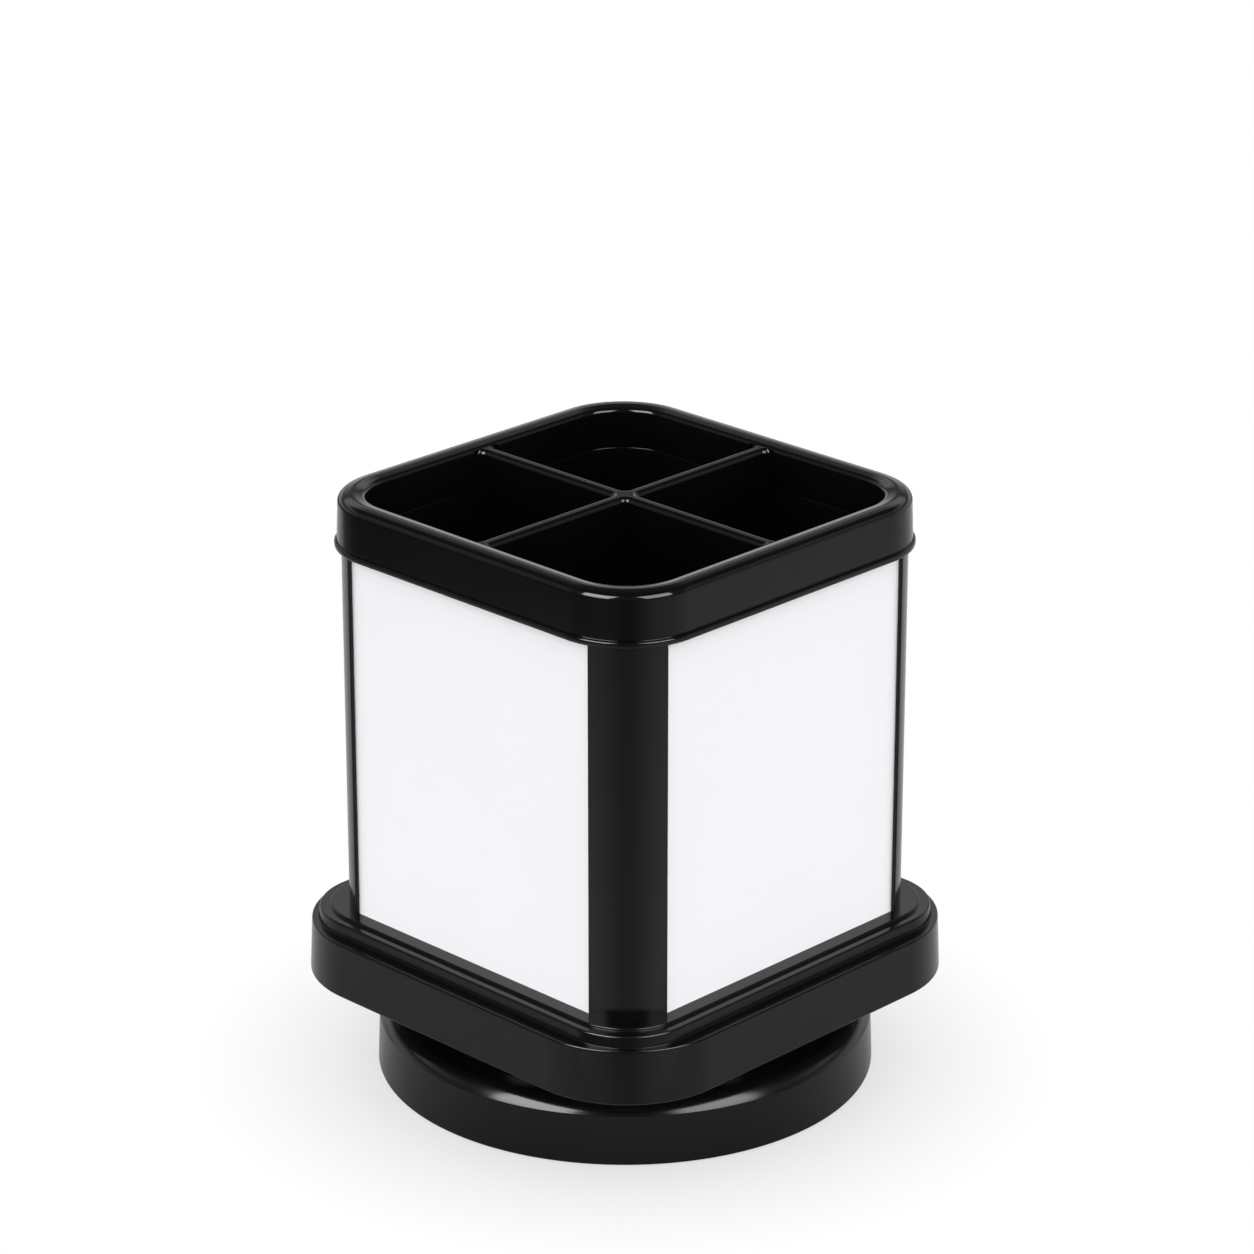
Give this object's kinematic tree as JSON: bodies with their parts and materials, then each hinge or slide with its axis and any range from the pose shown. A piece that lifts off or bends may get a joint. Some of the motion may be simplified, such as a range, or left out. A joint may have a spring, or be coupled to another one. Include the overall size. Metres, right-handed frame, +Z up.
{
  "type": "rotating pen stand",
  "caption": "Square revolving pen stand: blank white panels between black corner posts, a glossy top rim over a tub with a cross divider, turning on a round base.",
  "frame": {"origin": "centre of the underside, on the surface that the foot pads rest on", "axes": "+Z up along the turning axis, +X and -Y out of the two panels that the picture shows"},
  "size_m": [0.0916, 0.0916, 0.108],
  "materials": {
    "black_satin_abs": "satin moulded",
    "black_gloss_abs": "polished moulded",
    "white_panel_sheet": "satin coated sheet",
    "pad_rubber": "matte",
    "glide_pom": "smooth acetal",
    "zinc_steel": "zinc plated"
  },
  "bodies": {
    "base": {"base_shell": "black_satin_abs", "foot_pads": "pad_rubber", "glide_ring": "glide_pom"},
    "turret": {"swivel_plate": "black_satin_abs", "pivot_washer": "zinc_steel", "pivot_screw": "zinc_steel", "plinth": "black_satin_abs", "plinth_screws": "zinc_steel", "pen_tub": "black_satin_abs", "divider_cross": "black_gloss_abs", "corner_post_front": "black_satin_abs", "corner_post_right": "black_satin_abs", "corner_post_rear": "black_satin_abs", "corner_post_left": "black_satin_abs", "panel_front_left": "white_panel_sheet", "panel_front_right": "white_panel_sheet", "panel_rear_left": "white_panel_sheet", "panel_rear_right": "white_panel_sheet"},
    "rim": {"top_rim": "black_gloss_abs"}
  },
  "joints": [
    {"name": "turntable_spin", "type": "hinge", "parent": "base", "child": "turret", "pos_m": [0, 0, 0.01215], "axis": [0, 0, 1], "continuous": true},
    {"name": "rim_lift", "type": "slide", "parent": "turret", "child": "rim", "axis": [0, 0, 1], "range_m": [0, 0.025]}
  ]
}
